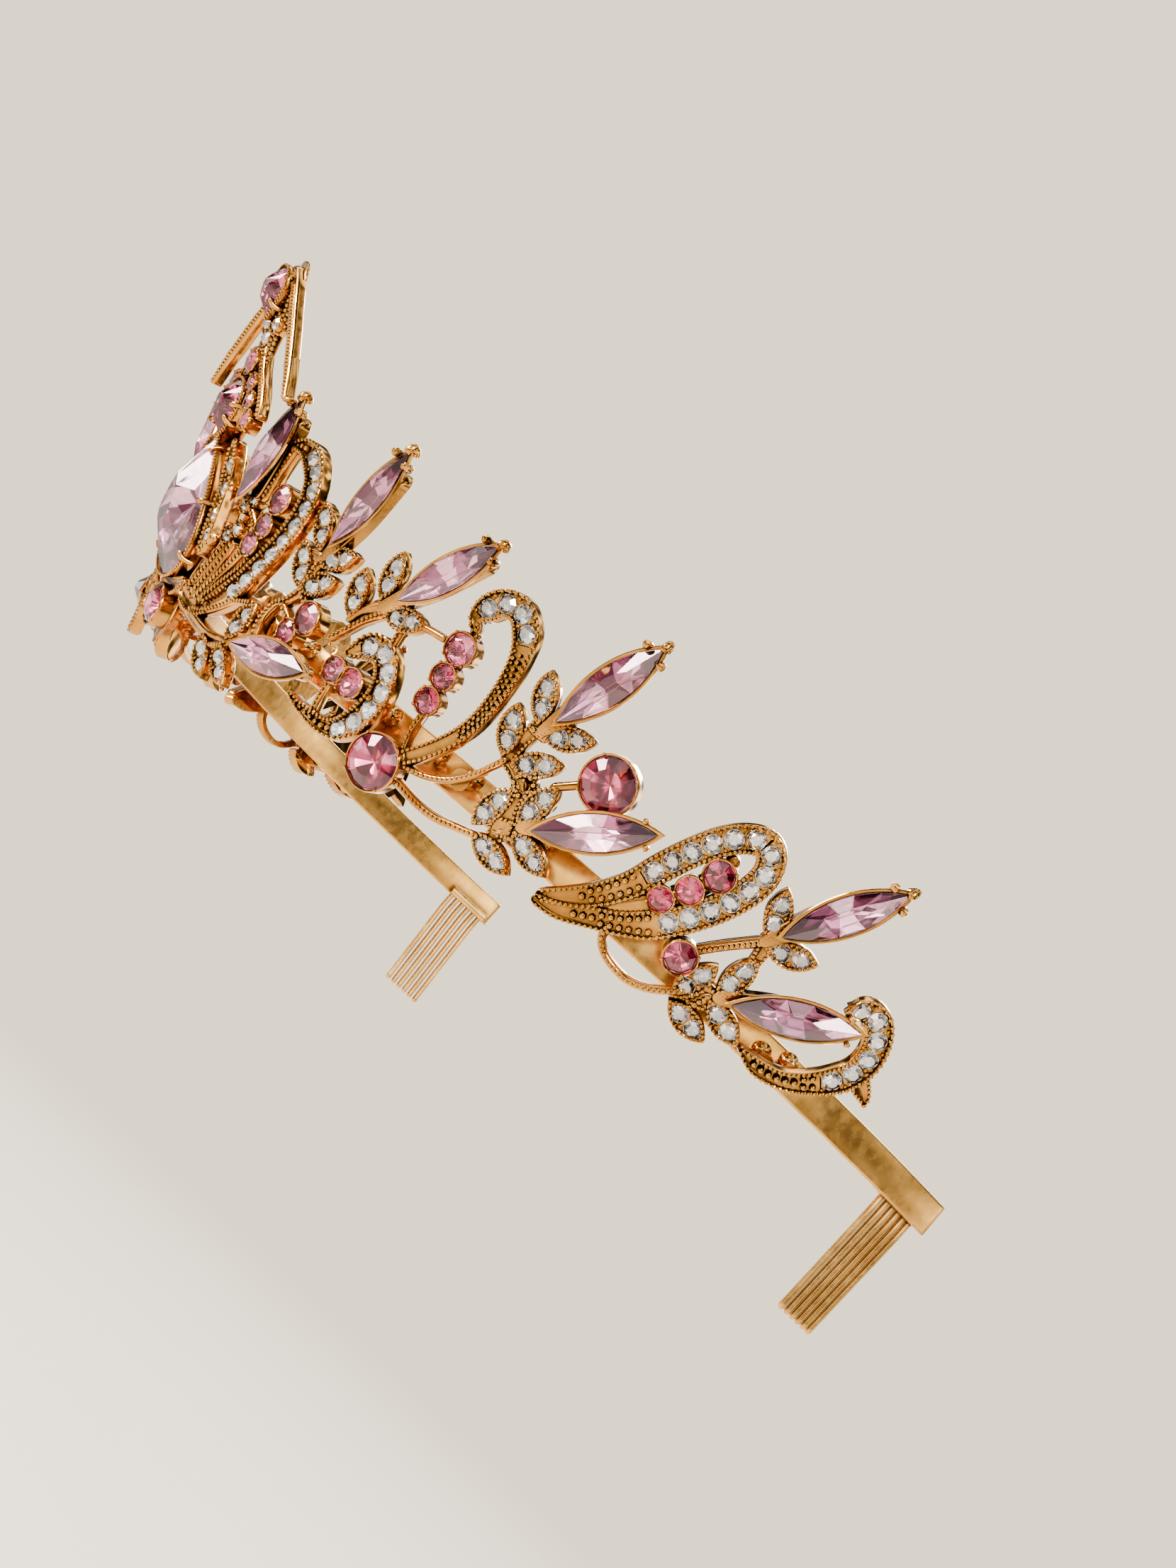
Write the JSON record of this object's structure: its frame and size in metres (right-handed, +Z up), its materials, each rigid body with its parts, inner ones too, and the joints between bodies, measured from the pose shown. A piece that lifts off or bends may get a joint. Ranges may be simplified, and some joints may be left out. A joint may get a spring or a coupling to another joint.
{
  "type": "bridal tiara",
  "caption": "Bridal tiara: open gold headband with filigree castings of leaves, hooks and paisleys, pear and marquise crystals, and a small comb at each side.",
  "frame": {"origin": "middle of the space the headband leaves for the head: halfway across between its two sides, level with its widest point, at half the height of its strip", "axes": "+Z up as worn, out of the top of the head; -Y the front with the crest; +X the side on the right when looked at from the front"},
  "size_m": [0.1612, 0.11, 0.0529],
  "materials": {
    "gold": "polished light rose-gold plating with milled edges",
    "clear_crystal": "faceted clear glass with a silver foil back",
    "lilac_crystal": "faceted pale lilac glass with a foil back",
    "pink_crystal": "faceted rose pink glass with a foil back"
  },
  "bodies": {
    "root": {"headband": "gold", "comb_right": "gold", "comb_left": "gold", "crest": "gold", "pear_setting": "gold", "upper_setting": "gold", "apex_setting": "gold", "foot_setting": "gold", "pear_stone": "lilac_crystal", "upper_stone": "pink_crystal", "apex_stone": "pink_crystal", "foot_stone": "pink_crystal", "crest_rounds": "pink_crystal", "crest_chatons": "clear_crystal", "wing_right": "gold", "wing_left": "gold", "spray_right": "gold", "spray_left": "gold", "crescent_right": "gold", "crescent_left": "gold", "swan_right": "gold", "swan_left": "gold", "leaf_right": "gold", "leaf_left": "gold", "paisley_right": "gold", "paisley_left": "gold", "end_spray_right": "gold", "end_spray_left": "gold", "end_scroll_right": "gold", "end_scroll_left": "gold", "navette_settings_right": "gold", "navette_settings_left": "gold", "navettes_right": "lilac_crystal", "navettes_left": "lilac_crystal", "large_rounds_right": "pink_crystal", "large_rounds_left": "pink_crystal", "small_rounds_right": "pink_crystal", "small_rounds_left": "pink_crystal", "wing_chatons_right": "clear_crystal", "wing_chatons_left": "clear_crystal", "spray_chatons_right": "clear_crystal", "spray_chatons_left": "clear_crystal", "crescent_chatons_right": "clear_crystal", "crescent_chatons_left": "clear_crystal", "swan_chatons_right": "clear_crystal", "swan_chatons_left": "clear_crystal", "leaf_chatons_right": "clear_crystal", "leaf_chatons_left": "clear_crystal", "paisley_chatons_right": "clear_crystal", "paisley_chatons_left": "clear_crystal", "end_spray_chatons_right": "clear_crystal", "end_spray_chatons_left": "clear_crystal", "end_scroll_chatons_right": "clear_crystal", "end_scroll_chatons_left": "clear_crystal"}
  },
  "joints": []
}
